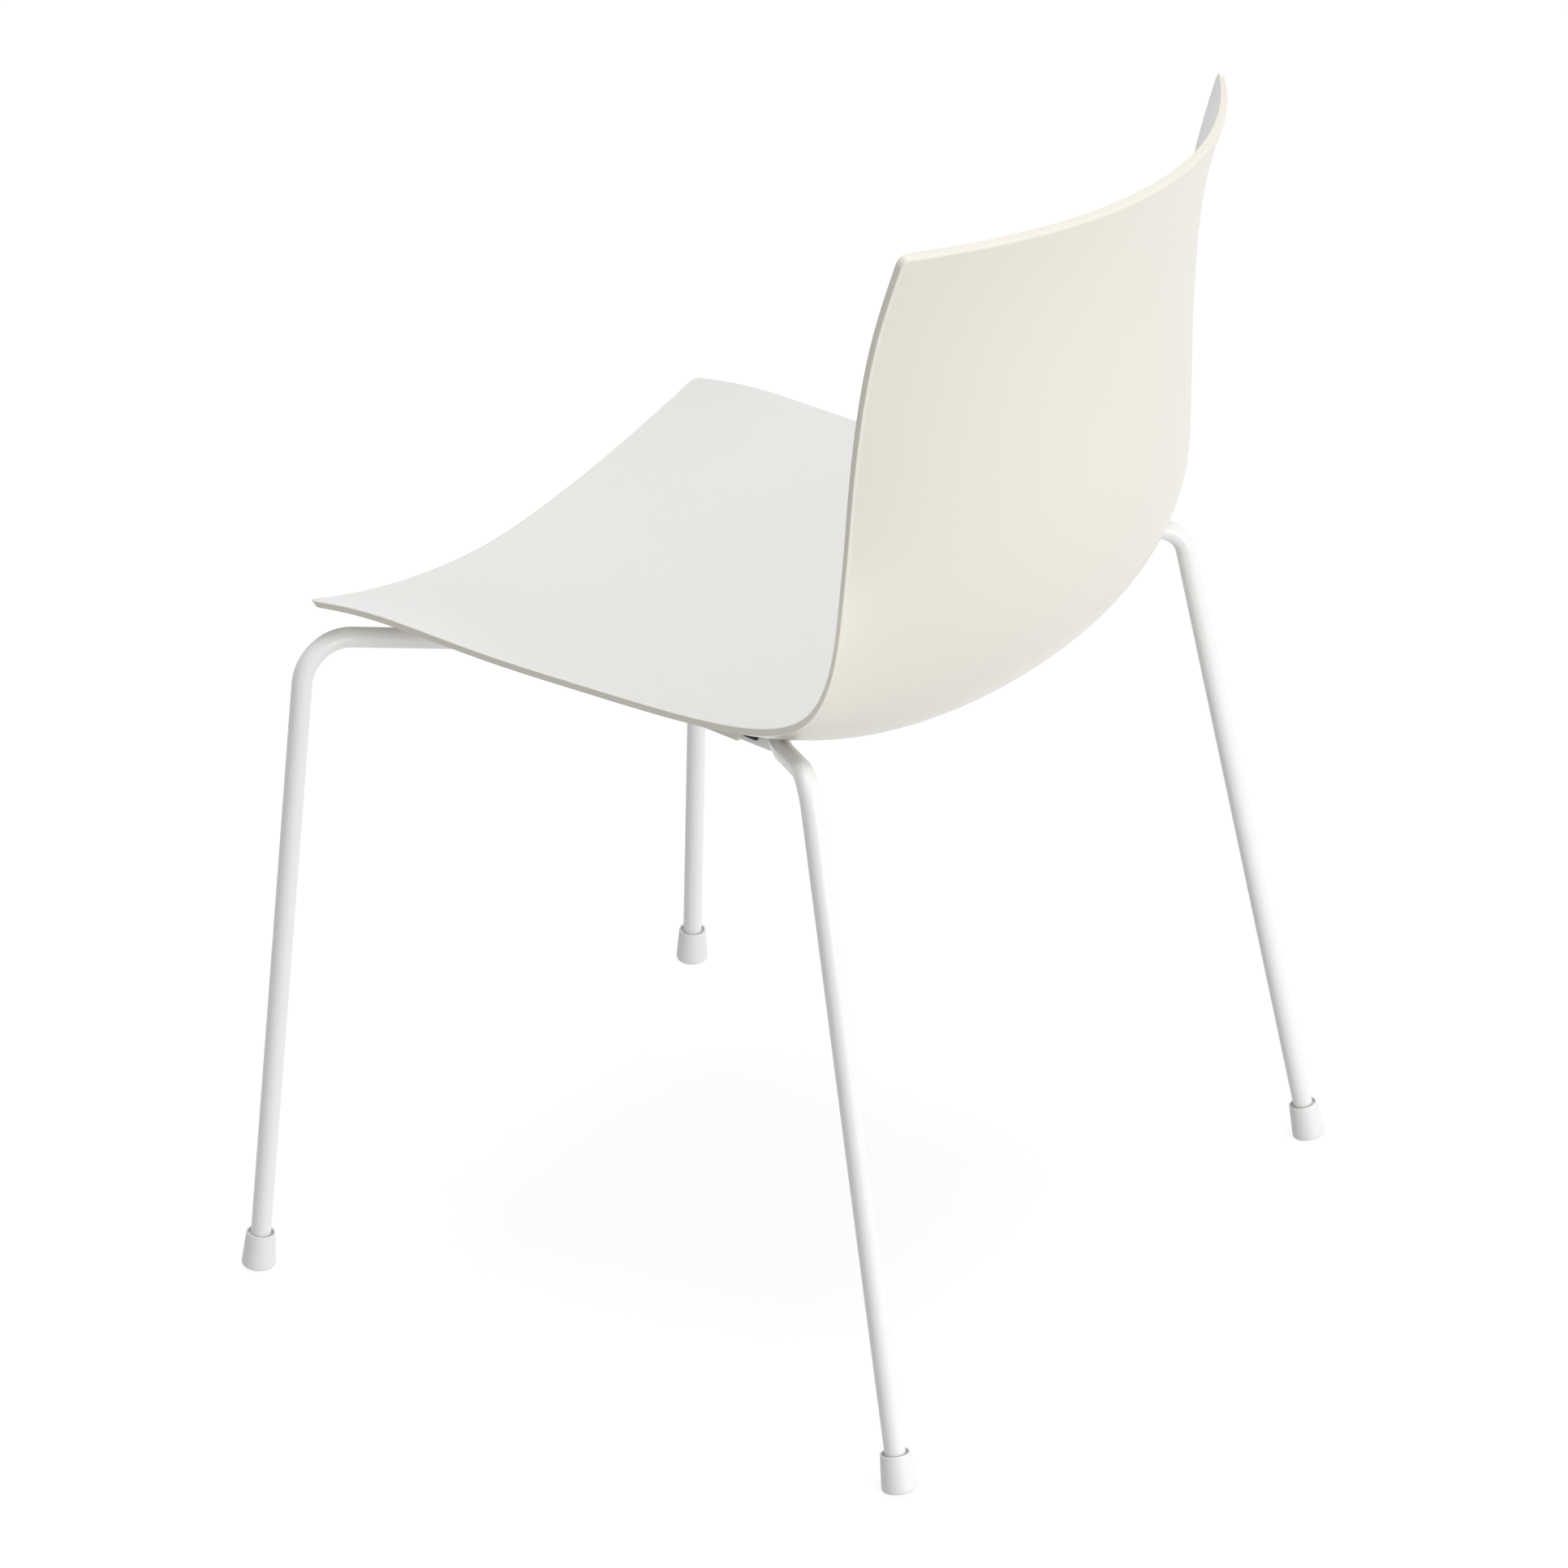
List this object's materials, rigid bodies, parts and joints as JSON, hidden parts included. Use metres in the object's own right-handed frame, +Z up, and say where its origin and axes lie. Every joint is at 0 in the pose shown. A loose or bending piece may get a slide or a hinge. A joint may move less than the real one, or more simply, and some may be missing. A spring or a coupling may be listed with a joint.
{
  "type": "stacking chair",
  "caption": "Stacking side chair: a curved two-colour moulded seat-and-back shell on a slim bent-tube frame with splayed legs and push-on glides.",
  "frame": {"origin": "on the floor below the middle of the chair's bounding box", "axes": "+Z up, the sitter looks towards -Y, +X is the sitter's left; the chair is mirrored about the YZ plane"},
  "size_m": [0.583, 0.5495, 0.8154],
  "materials": {
    "shell_ivory": "satin moulded",
    "shell_white": "satin moulded",
    "frame_white": "powder coat",
    "glide_white": "moulded",
    "pad_black": "matt",
    "insert_brass": "knurled",
    "fastener_steel": "zinc plated"
  },
  "bodies": {
    "chair": {"seat_shell": "shell_ivory", "seat_face": "shell_white", "front_leg_tube": "frame_white", "rear_leg_tube": "frame_white", "left_rail": "frame_white", "right_rail": "frame_white", "front_left_tab": "frame_white", "front_right_tab": "frame_white", "rear_left_tab": "frame_white", "rear_right_tab": "frame_white", "threaded_inserts": "insert_brass", "mounting_screws": "fastener_steel", "screw_washers": "fastener_steel", "front_left_stacking_pad": "pad_black", "front_right_stacking_pad": "pad_black", "rear_left_stacking_pad": "pad_black", "rear_right_stacking_pad": "pad_black", "front_left_glide": "glide_white", "front_right_glide": "glide_white", "rear_left_glide": "glide_white", "rear_right_glide": "glide_white"}
  },
  "joints": []
}
